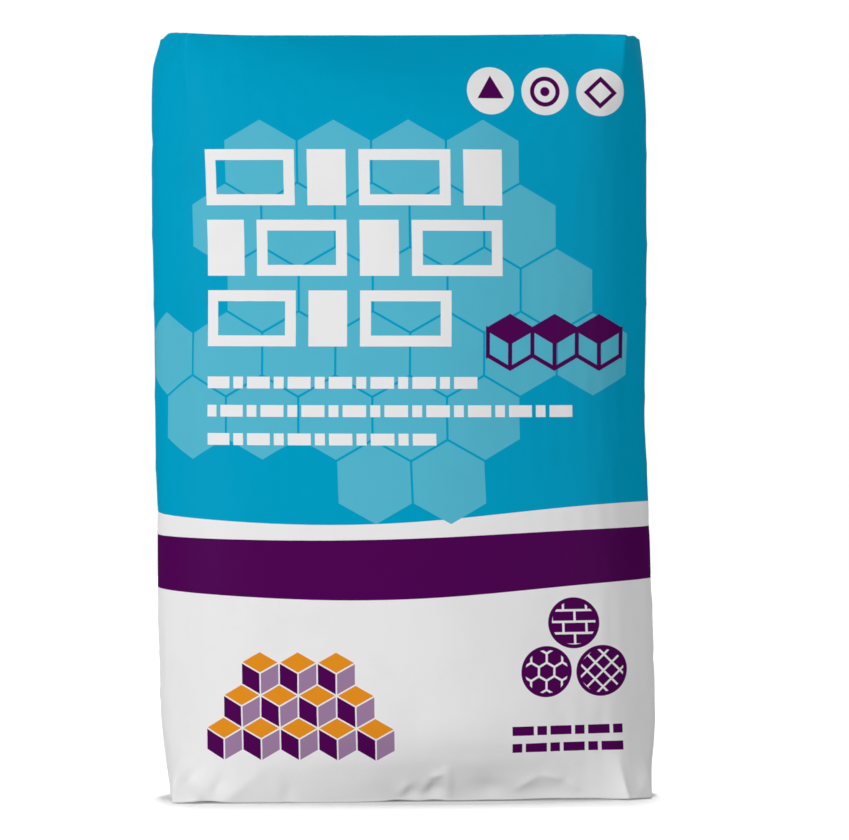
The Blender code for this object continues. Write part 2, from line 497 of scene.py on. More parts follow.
# %% Creases and dents of the front, where the picture shows them
FRONT_CREASES = [
    # start u, v, end u, v, height, width of the fall
    (-0.1440, 0.000, -0.1455, 0.008, 0.0010, 0.0016),
    (-0.1350, 0.000, -0.1335, 0.009, 0.0010, 0.0018),
    (-0.1240, 0.006, -0.118, 0.020, -0.0014, 0.0026),
    (-0.1200, 0.000, -0.088, 0.025, 0.0020, 0.0060),
    (0.1290, 0.000, 0.1265, 0.027, 0.0017, 0.0026),
    (0.133, 0.464, 0.137, 0.440, 0.0008, 0.0028),
    (-0.137, 0.465, -0.135, 0.446, -0.0008, 0.0022),
    (-0.110, 0.465, -0.088, 0.437, 0.0005, 0.0060),
    (0.104, 0.465, 0.085, 0.440, 0.0005, 0.0060),
]
FRONT_RIMS = [
    # the same for the curved rims of the dents in the foot, which fade towards both ends
    (-0.0120, 0.003, -0.0050, 0.013, 0.0010, 0.0018),
    (0.0030, 0.005, 0.0070, 0.0145, 0.0012, 0.0018),
    (0.0070, 0.0145, 0.0165, 0.019, 0.0012, 0.0018),
    (0.0180, 0.000, 0.0178, 0.024, 0.0016, 0.0020),
    (0.0580, 0.006, 0.0750, 0.0160, 0.0010, 0.0022),
    (0.0750, 0.0160, 0.0910, 0.0120, 0.0010, 0.0022),
    (0.0910, 0.0120, 0.0995, 0.005, 0.0010, 0.0022),
]
FRONT_DENTS = [
    # centre u, v, half width, half height, depth, turned by
    (-0.1390, 0.014, 0.0120, 0.0060, 0.0042, 0.86),
    (-0.1210, 0.010, 0.0060, 0.0050, 0.0011, 0.9),
    (-0.0790, 0.006, 0.0040, 0.0060, 0.0009, 0.0),
    (-0.0050, 0.005, 0.0060, 0.0045, 0.0012, 0.9),
    (0.0090, 0.007, 0.0070, 0.0060, 0.0021, 0.3),
    (0.0440, 0.008, 0.0100, 0.0070, 0.0014, 0.0),
    (0.0780, 0.005, 0.0190, 0.0070, 0.0014, 0.0),
    (0.1150, -0.004, 0.0440, 0.0350, 0.0036, 0.0),
    (-0.0500, 0.474, 0.0800, 0.0140, 0.0022, 0.0),
    (0.0750, 0.474, 0.0650, 0.0140, 0.0022, 0.0),
    (0.1470, 0.255, 0.0100, 0.0220, 0.0014, 0.0),
    (-0.1510, 0.262, 0.0100, 0.0400, 0.0010, 0.0),
    (0.0600, 0.180, 0.0550, 0.0300, 0.0005, 0.5),
]
FRONT_UPRIGHTS = [
    # middle u, half width, depth, how far up from the foot it fades
    (0.025, 0.055, -0.0035, 0.045),
    (-0.075, 0.055, 0.0030, UPRIGHT_FADE),
]
for creases, fades in ((FRONT_CREASES, True), (FRONT_RIMS, False)):
    for start_u, start_v, end_u, end_v, height, width in creases:
        press_crease((start_u, start_v), (end_u, end_v), height, width, fades)
for centre_u, centre_v, half_width, half_height, depth, turned in FRONT_DENTS:
    press_dent((centre_u, centre_v), half_width, half_height, depth, turned)
for upright in FRONT_UPRIGHTS:
    press_upright(*upright)

# %% Random creases of the sides and the back
CREASES_A_CORNER = 4
FOLD_CREASE_FALL = 0.0032
CROSS_CREASE_FALL = 0.0040
CROSS_CREASE_HEIGHTS = np.arange(0.075, 0.420, 0.045)
rng = np.random.default_rng(20)
for corner_u in FOLD_CORNERS:
    for end, inward in ENDS:
        for _ in range(CREASES_A_CORNER):
            start_u = corner_u + rng.uniform(-0.026, 0.026)
            if abs(nearest_way(0, start_u)) < END_HALF_FOLD:
                continue
            reach = rng.uniform(0.014, 0.040)
            slant = rng.uniform(-0.7, 0.7)
            last = (start_u + reach * math.sin(slant), end + inward * reach * math.cos(slant))
            height = rng.uniform(0.0004, 0.0010) * rng.choice((-1, 1))
            press_crease((start_u, end), last, height, FOLD_CREASE_FALL)
for crease_u in SIDE_CREASES:
    for centre_v in CROSS_CREASE_HEIGHTS:
        centre_v += rng.uniform(-0.012, 0.012)
        half = rng.uniform(0.010, 0.026)
        tilt = rng.uniform(-0.35, 0.35) * half
        first = (crease_u - half + rng.uniform(-0.006, 0.006), centre_v - tilt)
        last = (crease_u + half + rng.uniform(-0.006, 0.006), centre_v + tilt)
        height = rng.uniform(0.0003, 0.0008) * rng.choice((-1, 1))
        press_crease(first, last, height, CROSS_CREASE_FALL, fades=False)
pressed += wander(7, 12, 0.00055, seed=4)
pressed += wander(24, 40, 0.00010, seed=5)
print("pressed from", round(1000 * pressed.min(), 2), "to", round(1000 * pressed.max(), 2), "mm")

# %% [markdown]
# ## The pasted seam down the back
#
# The tube is rolled from a flat web, and its edges overlap by a few centimetres at the back, where they
# are pasted. The upper edge stands one thickness of the plies above the paper beside it.

# %% Raise the overlap
SEAM_ROUND = 0.338
SEAM_LAP = 0.034
PLIES_THICKNESS = 0.00045
seam_column = int(np.argmin(abs(ROUND - SEAM_ROUND)))
lap = nearest_way(ROUND, ROUND[seam_column])
on_lap = (lap > -1e-6) & (lap < SEAM_LAP)
pressed += PLIES_THICKNESS * np.where(on_lap, (1 - np.clip(lap / SEAM_LAP, 0, 1)) ** 0.6, 0)
print("seam at column", seam_column, "of", COLUMNS)

# %% [markdown]
# ## The front corners of the foot
#
# Seen from above the folded foot is a long hexagon. In the picture its front corners stand out squarer,
# because the weight of the cement has pushed them out. On the left the front fold simply runs on to the
# corner. On the right a short panel turns back from the ridge to the corner. The columns of the grid keep
# their distances up to the corner, and the rest are spread from there to the point at the side. A few
# centimetres up, the sack has its own section again.

# %% Square the front corners of the foot
FRONT_CORNERS = (
    # side, end of the front fold, corner, how far the corner lies behind the fold
    (-1, 0.1400, 0.1505, 0.0),
    (1, 0.1290, 0.1490, 0.0115),
)
CORNER_REACH = 0.024


def squarer_foot(side, fold_end, corner, behind):
    """How far each column moves when the paper runs on past the front fold to that corner."""
    way = nearest_way(0.0, ROUND) * side
    quarter_round = PAPER_ROUND / 4
    corner_x = fold_end + math.sqrt((corner - fold_end) ** 2 - behind**2)
    stops = (0, fold_end, corner, quarter_round)
    target_x = np.interp(way, stops, (0, fold_end, corner_x, POINT_X))
    target_y = np.interp(way, stops, (-END_HALF_DEPTH, -END_HALF_DEPTH, behind - END_HALF_DEPTH, 0))
    moved = np.zeros((COLUMNS, 2))
    wanted = np.column_stack([side * target_x, target_y])
    in_quarter = (way > END_HALF_FOLD / 2) & (way <= quarter_round)
    moved[in_quarter] = (wanted - END_RING + (TOP_X, 0))[in_quarter]
    return moved


corner_fade = np.exp(-(((heights - BODY_BOTTOM) / CORNER_REACH) ** 2))[:, None, None]
tube[:, :, :2] += corner_fade * sum(squarer_foot(*corner) for corner in FRONT_CORNERS)

# %% [markdown]
# ## Pressing the paper, and the rims of both ends
#
# Every point moves along the paper's own normal by what was pressed into it. Then the rims get their
# heights. The foot lifts off the floor a little where its folded corners crumple. The rim of the top
# stands higher near its four corners and over the fuller places, and dips at the points of the sides.

# %% Press the tube and shape its rims
FOOT_LIFTS = [
    # u of the middle, half length, height of the lift
    (-0.127, 0.010, 0.0011),
    (-0.014, 0.006, 0.0010),
    (0.014, 0.008, 0.0003),
    (0.106, 0.009, 0.0003),
    (0.132, 0.008, 0.0004),
    (0.186, 0.020, 0.0008),
    (-0.186, 0.020, 0.0008),
    (0.262, 0.014, 0.0006),
    (-0.262, 0.012, 0.0007),
]
LIFT_REACH = 0.010
RIM_DROP = 0.0007
TOP_RISES = [
    # the same for the top, where below 0 means a dip
    (-0.184, 0.030, 0.0026),
    (-0.184, 0.0085, -0.0036),
    (-0.150, 0.037, 0.0019),
    (0.010, 0.070, 0.0020),
    (0.110, 0.042, 0.0022),
    (0.184, 0.030, 0.0032),
    (0.184, 0.0085, -0.0020),
    (0.262, 0.045, 0.0013),
    (-0.330, 0.050, 0.0009),
]
RISE_REACH = 0.014
TOP_SAG = 0.0002


def normals_of(points):
    """Outward unit normals of a closed tube of points, from its two grid directions."""
    around_it = np.roll(points, -1, axis=1) - np.roll(points, 1, axis=1)
    up_it = np.gradient(points, axis=0)
    normal = np.cross(around_it, up_it)
    return normal / np.linalg.norm(normal, axis=2, keepdims=True)


def rim_heights(bumps):
    """How far a rim stands above its plane at each column, as a sum of bumps."""
    return sum(size * np.exp(-((nearest_way(u, ROUND) / half) ** 2)) for u, half, size in bumps)[None, :]


def sag(x):
    """How far the top hangs between its two ends."""
    return TOP_SAG * np.cos(math.pi / 2 * np.clip((x - TOP_X) / END_HALF_FOLD, -1, 1)) ** 2


tube += normals_of(tube) * pressed[:, :, None]
near_foot = np.exp(-((heights - BODY_BOTTOM) / LIFT_REACH))[:, None]
tube[:, :, 2] += near_foot * (rim_heights(FOOT_LIFTS) - RIM_DROP)
from_top = (BODY_TOP - heights)[:, None]
tube[:, :, 2] -= np.exp(-from_top / LIFT_REACH) * sag(tube[-1, :, 0])[None, :]
tube[:, :, 2] += np.exp(-from_top / RISE_REACH) * rim_heights(TOP_RISES)

# %% [markdown]
# ## Folds and folded ends
#
# Paper turns over a fold in a small radius, so a few more rings of points carry the tube over it. Straight
# columns from the front fold to the back fold then fill each block end. They carry the steps of the folded
# flaps, and the shallow seat of the valve sleeve at the left of the top.

# %% Round the folds and fill the ends
FOLD_ARC = (30, 60, 90)
END_ROWS = 44
TOP_HOLLOW = 0.0016
FOOT_HOLLOW = 0.0003
SEAT_ROOM = 0.0002
SEAT_DEPTH = BODY_TOP - SLEEVE_LOW.z + SEAT_ROOM
SEAT_MARGIN = 0.0012
RIM_EASE = 0.004
TUCK_STEP = 0.00035
LAP_STEP = 0.00030
LAP_FROM, LAP_TO = 0.0072, 0.0088
CORNER_SLANT = 0.9
SHARE_BELOW = 0.4


def rounded_fold(ring, upward):
    """Rings that carry the last one of the tube over the fold and onto the block end."""
    along = np.roll(ring, -1, axis=0) - np.roll(ring, 1, axis=0)
    inward = np.column_stack([-along[:, 1], along[:, 0]])
    inward /= np.linalg.norm(inward, axis=1, keepdims=True)
    rings = []
    for angle in FOLD_ARC:
        turn = math.radians(angle)
        over = ring.copy()
        over[:, :2] += inward * FOLD_RADIUS * (1 - math.cos(turn))
        over[:, 2] += upward * FOLD_RADIUS * math.sin(turn)
        rings.append(over)
    return rings


top_rings = rounded_fold(tube[-1], 1)
foot_rings = rounded_fold(tube[0], -1)
rows = foot_rings[::-1] + list(tube) + top_rings
shell = np.array(rows)
row_up = np.concatenate([
    -FOLD_RADIUS * np.radians(FOLD_ARC[::-1]),
    UP,
    UP[-1] + FOLD_RADIUS * np.radians(FOLD_ARC),
])
left_tip = 3 * QUARTER
front_of = [(left_tip + k) % COLUMNS for k in range(2 * QUARTER + 1)]
back_of = [(left_tip - k) % COLUMNS for k in range(2 * QUARTER + 1)]


def fill_end(ring, relief):
    """Points of straight columns between the front and the back of a block end, without its outline."""
    share = np.linspace(0, 1, END_ROWS + 1)[1:-1, None]
    columns = []
    for front, back in zip(front_of[1:-1], back_of[1:-1]):
        line = ring[front] * (1 - share) + ring[back] * share
        line[:, 2] += relief(line)
        columns.append(line)
    return np.array(columns)


def smooth_step(value, start, end):
    t = np.clip((value - start) / (end - start), 0, 1)
    return t * t * (3 - 2 * t)


def seat(x, y):
    """The shallow hollow that the valve sleeve lies in."""
    half_width = (SLEEVE_HIGH.y - SLEEVE_LOW.y) / 2
    beside = smooth_step(abs(y), half_width, half_width + SEAT_MARGIN)
    inward = smooth_step(x, SLEEVE_HIGH.x, SLEEVE_HIGH.x + SEAT_MARGIN)
    return SEAT_DEPTH * (1 - beside) * (1 - inward)


def ease_from_rim(line):
    """From 0 at both ends of a column to 1 a few millimetres inside."""
    from_rim = np.minimum(line[:, 1] - line[0, 1], line[-1, 1] - line[:, 1])
    return smooth_step(abs(from_rim), 0.0, RIM_EASE)


def folded_flaps(x, y, middle_x):
    """The steps of the folded end: two long flaps that overlap, above two tucked corners."""
    from_end = END_HALF_FOLD - abs(x - middle_x) - CORNER_SLANT * abs(END_HALF_DEPTH - abs(y))
    over_corner = smooth_step(from_end, -0.0010, 0.0010)
    upper_flap = smooth_step(y, LAP_FROM, LAP_TO)
    return TUCK_STEP * over_corner + LAP_STEP * over_corner * (1 - upper_flap)


def top_relief(line):
    x, y = line[:, 0], line[:, 1]
    plane = BODY_TOP - sag(x) - seat(x, y) - TOP_HOLLOW + folded_flaps(x, y, TOP_X)
    return (plane - line[:, 2]) * ease_from_rim(line)


def foot_relief(line):
    x, y = line[:, 0], line[:, 1]
    plane = BODY_BOTTOM + FOOT_HOLLOW - SHARE_BELOW * folded_flaps(x, y, FOOT_X)
    return (plane - line[:, 2]) * ease_from_rim(line)


top_fill = fill_end(shell[-1], top_relief)
foot_fill = fill_end(shell[0], foot_relief)

# %% [markdown]
# ## One closed mesh, and its place on the flat sheet
#
# The rings and the filled ends become one mesh of faces. Each corner of a face gets its UV place on the
# flat sheet. Past the folds the sheet runs on, because the flaps of the ends are the same paper turned in.

# %% Faces and their places on the paper
def end_faces(ring_start, fill_start, upward):
    """Faces of a block end. Its outline is a ring of the tube, and its inside is filled columns."""
    inside = END_ROWS - 1

    def point(k, j):
        if k in (0, 2 * QUARTER) or j == 0:
            return ring_start + front_of[k]
        if j == END_ROWS:
            return ring_start + back_of[k]
        return fill_start + (k - 1) * inside + j - 1

    faces, places = [], []
    for k in range(2 * QUARTER):
        for j in range(END_ROWS):
            corners = [(k, j), (k + 1, j), (k + 1, j + 1), (k, j + 1)]
            corners = corners if upward else corners[::-1]
            numbers = [point(*corner) for corner in corners]
            kept = [i for i in range(4) if numbers[i] not in numbers[:i]]
            if len(kept) > 2:
                faces.append([numbers[i] for i in kept])
                places.append([corners[i] for i in kept])
    return faces, places


def flap_place(corner, upward):
    """Where a point of a block end lies on the flat paper, beyond the fold that it was turned in at."""
    k, j = corner
    depth = abs(END_RING[front_of[k], 1])
    front = j <= END_ROWS / 2
    reach = 2 * depth * (j if front else END_ROWS - j) / END_ROWS
    u = ROUND[front_of[k] if front else back_of[k]]
    return u, UP[-1] + FOLD_RADIUS + reach if upward else -FOLD_RADIUS - reach


SHEET_MARGIN = 0.060
SHEET_UP = PAPER_UP + 2 * SHEET_MARGIN


def on_sheet(u, v):
    """Paper metres as a UV place from 0 to 1 on the flat sheet, which starts at the pasted seam."""
    return ((u - ROUND[seam_column]) % PAPER_ROUND) / PAPER_ROUND, (v + SHEET_MARGIN) / SHEET_UP


def close_up(uvs):
    """Keeps a face together that ends at the sheet's right edge, where u jumps back to 0."""
    widest = max(u for u, _ in uvs)
    return [(u + 1 if widest - u > 0.5 else u, v) for u, v in uvs]


ring_count = len(shell)
fill_first = ring_count * COLUMNS
points = np.concatenate([shell.reshape(-1, 3), foot_fill.reshape(-1, 3), top_fill.reshape(-1, 3)])
faces = tube_faces(ring_count, COLUMNS)
uvs = []
for face in faces:
    uvs += close_up([on_sheet(ROUND[n % COLUMNS], row_up[n // COLUMNS]) for n in face])
for ring_start, fill_start, upward in (
    (0, fill_first, False),
    ((ring_count - 1) * COLUMNS, fill_first + foot_fill.size // 3, True),
):
    added, places = end_faces(ring_start, fill_start, upward)
    faces += added
    for corners in places:
        uvs += close_up([on_sheet(*flap_place(corner, upward)) for corner in corners])

sack = mesh_object("printed_sack", points, faces)
sack.data.uv_layers.new(name="paper").uv.foreach_set("vector", np.ravel(uvs))
sack.data.shade_smooth()
print("printed_sack:", len(points), "points,", len(faces), "faces")

# %% [markdown]
# ## Shader maths as Python
#
# The print is drawn by formulas, so that it stays sharp at any distance. A formula written as a chain of
# Math nodes is hard to read, so one small class wraps the output of a node: adding, multiplying or
# comparing two of them adds the Math node and returns its output.

# %% A socket that does arithmetic
class Field:
    """A number that changes over a surface: the output of a shader node."""

    def __init__(self, socket):
        self.socket = socket

    def node(self, kind, settings=None, values=None, output=0):
        """Adds any shader node: its settings first, then the values or links of its sockets."""
        made = self.socket.id_data.nodes.new("ShaderNode" + kind)
        for key, value in (settings or {}).items():
            setattr(made, key, value)
        for key, value in (values or {}).items():
            if isinstance(value, Field):
                self.socket.id_data.links.new(value.socket, made.inputs[key])
            else:
                made.inputs[key].default_value = value
        return Field(made.outputs[output])

    def math(self, operation, *terms, clamp=False):
        settings = {"operation": operation, "use_clamp": clamp}
        return self.node("Math", settings, dict(enumerate(terms)))

    def __rsub__(self, other):
        return self.math("SUBTRACT", other, self)

    def __neg__(self):
        return self * -1

    def __abs__(self):
        return self.math("ABSOLUTE", self)


def operator(operation):
    """A Python operator that adds one Math node."""
    return lambda a, b: a.math(operation, a, b)


for sign, operation in (
    ("add", "ADD"), ("radd", "ADD"), ("sub", "SUBTRACT"), ("mul", "MULTIPLY"), ("rmul", "MULTIPLY"),
    ("truediv", "DIVIDE"), ("mod", "FLOORED_MODULO"), ("pow", "POWER"),
    ("gt", "GREATER_THAN"), ("lt", "LESS_THAN"),
):
    setattr(Field, f"__{sign}__", operator(operation))


def lower(a, b):
    return a.math("MINIMUM", a, b)


def higher(a, b):
    return a.math("MAXIMUM", a, b)


def root(x):
    return x.math("SQRT", x)


def length(x, y):
    return root(x * x + y * y)


def sine(x):
    return x.math("SINE", x)


def clamped(x):
    return x.math("ADD", x, 0.0, clamp=True)


def new_material(name):
    """A fresh material, its shader node, and its object coordinates as a Field."""
    material = bpy.data.materials.new(name)
    material.use_nodes = True
    tree = material.node_tree
    shader = tree.nodes["Principled BSDF"]
    place = Field(tree.nodes.new("ShaderNodeTexCoord").outputs["Object"])
    return material, shader, place


def feed(shader, **wires):
    """Links fields to the shader's sockets, whose names are written with _ for a space."""
    for name, wire in wires.items():
        shader.id_data.links.new(wire.socket, shader.inputs[name.replace("_", " ")])


def noise(place, scale, detail, roughness):
    settings = {"noise_dimensions": "3D"}
    values = {"Vector": place, "Scale": scale, "Detail": detail, "Roughness": roughness}
    return place.node("TexNoise", settings, values)


def mixed(factor, below, above):
    """The colour above laid over the colour below, where the factor is 1."""
    return factor.node("Mix", {"data_type": "RGBA"}, {0: factor, 6: below, 7: above}, output=2)


def darkened(colour, shade):
    """A colour times a number."""
    settings = {"data_type": "RGBA", "blend_type": "MULTIPLY"}
    grey = shade.node("CombineColor", None, {0: shade, 1: shade, 2: shade})
    return shade.node("Mix", settings, {0: 1.0, 6: colour, 7: grey}, output=2)


def split(vector):
    """The three numbers of a vector."""
    separate = vector.node("SeparateXYZ", None, {0: vector}).socket.node
    return [Field(socket) for socket in separate.outputs]


def bump(height, distance):
    return height.node("Bump", None, {"Strength": 1.0, "Distance": distance, "Height": height})

# %% [markdown]
# ## Plain paper
#
# The cover patches are matt white paper, and the valve sleeve is brown kraft. Both show cloudy fibre and
# a fine surface that scatters light.

# %% Matt paper
CLOUD_SCALE = 60.0
FIBRE_SCALE = 900.0


def matt_paper(name, colour, cloudier, roughness):
    """Paper whose colour drifts cloudily between two, and whose fibres show as a fine grain."""
    material, shader, place = new_material(name)
    cloud = noise(place, CLOUD_SCALE, 5.0, 0.6)
    fibre = noise(place, FIBRE_SCALE, 4.0, 0.7)
    amount = clamped(cloud * 0.8 + fibre * 0.4 - 0.1)
    feed(
        shader,
        Base_Color=mixed(amount, (*cloudier, 1.0), (*colour, 1.0)),
        Roughness=roughness + fibre * 0.12,
        Normal=bump(fibre + cloud * 2.0, 0.00012),
    )
    return material


patch_paper = matt_paper("white patch paper", (0.80, 0.79, 0.765), (0.72, 0.705, 0.67), 0.55)
kraft_paper = matt_paper("brown kraft paper", (0.46, 0.30, 0.16), (0.34, 0.205, 0.10), 0.70)

# %% [markdown]
# ## The valve sleeve
#
# The valve is a short flattened tube of kraft paper that leads from the corner of the top into the sack.
# The weight of the cement presses it shut from inside, so its mouth is a thin slit.

# %% Loft the flattened tube
MOUTH_INSET = 0.005
MOUTH_HALF_OPENING = 0.0006
PRESSED_HALF_OPENING = 0.00028
SLEEVE_PAPER = 0.00022
SLEEVE_CLEAR = 0.0006
SLEEVE_SUNK = 0.0005
RIPPLE = 0.00012
RIPPLE_TURN = 210.0
RIPPLE_DRIFT = 3.0
SLEEVE_RINGS = 30
SLEEVE_POINTS = 64


def thicken(sheet, thickness, offset):
    """Gives a sheet its thickness: outwards where the offset is 1, and inwards where it is -1."""
    modifier = sheet.modifiers.new("thickness", "SOLIDIFY")
    modifier.thickness = thickness
    modifier.offset = offset


def valve_sleeve():
    half_width = (SLEEVE_HIGH.y - SLEEVE_LOW.y) / 2 - SLEEVE_CLEAR
    angle = np.linspace(0, 2 * math.pi, SLEEVE_POINTS, endpoint=False)
    across = half_width * np.cos(angle)
    flattened = np.sign(np.sin(angle)) * abs(np.sin(angle)) ** 0.5
    mouth_x = SLEEVE_LOW.x + MOUTH_INSET + END_POINT * abs(across) / END_HALF_DEPTH
    rings = []
    for share in np.linspace(0, 1, SLEEVE_RINGS):
        opening = PRESSED_HALF_OPENING + (MOUTH_HALF_OPENING - PRESSED_HALF_OPENING) * (1 - share) ** 3
        x = mouth_x + (SLEEVE_HIGH.x - SLEEVE_CLEAR - mouth_x) * share
        ripple = RIPPLE * np.sin(across * RIPPLE_TURN + RIPPLE_DRIFT * share)
        z = SLEEVE_LOW.z - SLEEVE_SUNK + opening * flattened + ripple
        rings.append(np.column_stack([x, across, z]))
    outward = [face[::-1] for face in tube_faces(SLEEVE_RINGS, SLEEVE_POINTS)]
    sleeve = mesh_object("kraft_valve_sleeve", rings, outward)
    sleeve.data.materials.append(kraft_paper)
    sleeve.data.shade_smooth()
    thicken(sleeve, SLEEVE_PAPER, -1.0)
    return sleeve


sleeve = valve_sleeve()

# %% [markdown]
# ## Cover patches, as Geometry Nodes
#
# A cover patch is a flat sheet that is pasted onto the folded end, so it follows whatever lies beneath
# it. A node tree makes the sheet as a grid, shoots a ray from every point of it at the sack and the
# sleeve, moves the point to where the ray lands, and smooths the result a little, because paper bridges
# small steps. Solidify then gives the sheet its thickness.

# %% A tree that lays a sheet on a surface
SHEET_INPUTS = {
    "Length": "Float", "Width": "Float", "Points along": "Int", "Points across": "Int",
    "Centre": "Vector", "Ray": "Vector", "Clearance": "Float", "Smoothing": "Int",
    "Surface": "Object", "Sleeve": "Object", "Paper": "Material",
}
RAY_START = 0.02


def laid_sheet_tree():
    tree = bpy.data.node_groups.new("laid sheet", "GeometryNodeTree")
    for name, kind in SHEET_INPUTS.items():
        tree.interface.new_socket(name, in_out="INPUT", socket_type="NodeSocket" + kind)
    tree.interface.new_socket("Sheet", in_out="OUTPUT", socket_type="NodeSocketGeometry")
    given = tree.nodes.new("NodeGroupInput").outputs

    def node(kind, sockets, **settings):
        """Adds a node, sets it up, links or fills its sockets, and returns its outputs."""
        made = tree.nodes.new(kind)
        for key, value in settings.items():
            setattr(made, key, value)
        for key, value in sockets.items():
            if isinstance(value, bpy.types.NodeSocket):
                tree.links.new(value, made.inputs[key])
            else:
                made.inputs[key].default_value = value
        return made.outputs

    sizes = ("Length", "Width", "Points along", "Points across")
    grid = node("GeometryNodeMeshGrid", {place: given[name] for place, name in enumerate(sizes)})
    back = node("ShaderNodeVectorMath", {0: given["Ray"], "Scale": -RAY_START}, operation="SCALE")
    start = node("ShaderNodeVectorMath", {0: given["Centre"], 1: back[0]}, operation="ADD")
    lifted = node("GeometryNodeSetPosition", {"Geometry": grid["Mesh"], "Offset": start[0]})

    ground = tree.nodes.new("GeometryNodeJoinGeometry")
    for name in ("Surface", "Sleeve"):
        target = node("GeometryNodeObjectInfo", {"Object": given[name]})
        tree.links.new(target["Geometry"], ground.inputs["Geometry"])
    shot = {"Target Geometry": ground.outputs["Geometry"], "Ray Direction": given["Ray"]}
    ray = node("GeometryNodeRaycast", shot | {"Ray Length": 2 * RAY_START})
    blur = {"Value": ray["Hit Position"], "Iterations": given["Smoothing"]}
    smooth = node("GeometryNodeBlurAttribute", blur, data_type="FLOAT_VECTOR")
    outward = node("ShaderNodeMath", {0: given["Clearance"], 1: -1.0}, operation="MULTIPLY")
    clear = node("ShaderNodeVectorMath", {0: given["Ray"], 1: outward[0], 2: smooth["Value"]},
                 operation="MULTIPLY_ADD")
    laid = node("GeometryNodeSetPosition", {"Geometry": lifted["Geometry"], "Position": clear[0]})
    real = node("GeometryNodeRealizeInstances", {"Geometry": laid["Geometry"]})
    covered = node("GeometryNodeSetMaterial", {"Geometry": real["Geometry"], "Material": given["Paper"]})
    node("NodeGroupOutput", {"Sheet": covered["Geometry"]})
    return tree


def made_by(tree, name, values):
    """An empty mesh with the tree on it, evaluated with those inputs into a plain mesh object."""
    holder = bpy.data.objects.new(name + " maker", bpy.data.meshes.new(name + " maker"))
    bpy.context.scene.collection.objects.link(holder)
    modifier = holder.modifiers.new("maker", "NODES")
    modifier.node_group = tree
    sockets = {item.name: item.identifier for item in tree.interface.items_tree if item.in_out == "INPUT"}
    for key, value in values.items():
        modifier[sockets[key]] = value
    evaluated = holder.evaluated_get(bpy.context.evaluated_depsgraph_get())
    mesh = bpy.data.meshes.new_from_object(evaluated)
    bpy.data.objects.remove(holder)
    mesh.name = name
    made = bpy.data.objects.new(name, mesh)
    bpy.context.scene.collection.objects.link(made)
    return made

# %% Lay the two patches
PATCH_PAPER = 0.00045
SHEET_GRID = 0.0022
SHEET_CLEARANCE = 0.0002
SMOOTHINGS = 2
laid_sheet = laid_sheet_tree()


def cover_patch(name, low, high, upward):
    size = high - low
    middle = (low + high) / 2
    patch = made_by(laid_sheet, name, {
        "Length": size.x,
        "Width": size.y,
        "Points along": round(size.x / SHEET_GRID),
        "Points across": round(size.y / SHEET_GRID),
        "Centre": (middle.x, middle.y, BODY_TOP if upward else BODY_BOTTOM),
        "Ray": (0.0, 0.0, -1.0 if upward else 1.0),
        "Clearance": SHEET_CLEARANCE,
        "Smoothing": SMOOTHINGS,
        "Surface": sack,
        "Sleeve": sleeve,
        "Paper": patch_paper,
    })
    if not upward:
        patch.data.flip_normals()
    patch.data.shade_smooth()
    thicken(patch, PATCH_PAPER, 1.0)
    print(name, len(patch.data.polygons), "faces,", [round(1000 * x, 1) for x in patch.dimensions], "mm")
    return patch


top_cover = cover_patch("top_cover_patch", PATCH_LOW, PATCH_HIGH, upward=True)
foot_cover = cover_patch("foot_cover_patch", FOOT_LOW, FOOT_HIGH, upward=False)

# %% [markdown]
# ## The printed sheet
#
# A sack is printed on the flat web before it is rolled into a tube, so the print is worked out on the
# flat sheet too. The UV map gives each point its place there, and the formulas below count in
# millimetres: `across` is 0 down the middle of a face, and `up` is 0 at the bottom fold. The front and the
# back carry the same print. Towards the right it is drawn a little wider, so that it looks even where the
# face turns away. It runs a little askew, which shows as a step where the web overlaps itself.
#
# Every shape is a distance: below 0 inside, above 0 outside. That makes an outline or a gap as easy as a
# filled shape, and edges stay sharp from any distance.

# %% Millimetres on the sheet
SHEET_ROUND_MM = 1000 * PAPER_ROUND
SEAM_MM = 1000 * float(ROUND[seam_column])
ASKEW = 0.002
DRAWN_WIDER = 291
printed_paper, printed_shader, place = new_material("printed sack paper")
sheet_x, sheet_y, _ = split(place.node("UVMap", {"uv_map": "paper"}))
around_mm = sheet_x * SHEET_ROUND_MM + (SEAM_MM - SHEET_ROUND_MM)
up_mm = sheet_y * (1000 * SHEET_UP) - 1000 * SHEET_MARGIN
up = up_mm + around_mm * ASKEW
from_axis = (around_mm + SHEET_ROUND_MM / 4) % (SHEET_ROUND_MM / 2) - SHEET_ROUND_MM / 4
rightwards = higher(from_axis, 0.0)
across = from_axis - rightwards * (rightwards / DRAWN_WIDER) ** 4

# %% Shapes as distances
INK_EDGE = 0.25
SLOPE = math.sqrt(0.75)


def disc(x, y, radius):
    return length(x, y) - radius


def box(x, y, half_length, half_height):
    return higher(abs(x) - half_length, abs(y) - half_height)


def hexagon(x, y, width):
    """A hexagon that stands on a point."""
    side = abs(x)
    return higher(side, side * 0.5 + abs(y) * SLOPE) - width / 2


def without(shape, hole):
    return higher(shape, -hole)


def ring(shape, stroke):
    """Only the rim of a shape, of that width, on its inside."""
    return without(shape, shape + stroke)


def ink(shape):
    """How much of a point is covered: 1 inside the shape, 0 outside."""
    return shape.math("MULTIPLY_ADD", shape, -1 / INK_EDGE, 0.5, clamp=True)


def in_honeycomb(x, y, width):
    """The place within the nearest hexagon of a honeycomb."""
    height = width * math.sqrt(3)
    even = ((x + width / 2) % width - width / 2, (y + height / 2) % height - height / 2)
    odd = (x % width - width / 2, y % height - height / 2)
    nearer = length(*even) < length(*odd)
    return [b + (a - b) * nearer for a, b in zip(even, odd)]


def cube_edges(x, y):
    """The three edges that meet in the middle of a hexagon and make it look like a cube."""
    side = abs(x)
    return lower(higher(side, y), abs(side * 0.5 - y * SLOPE))

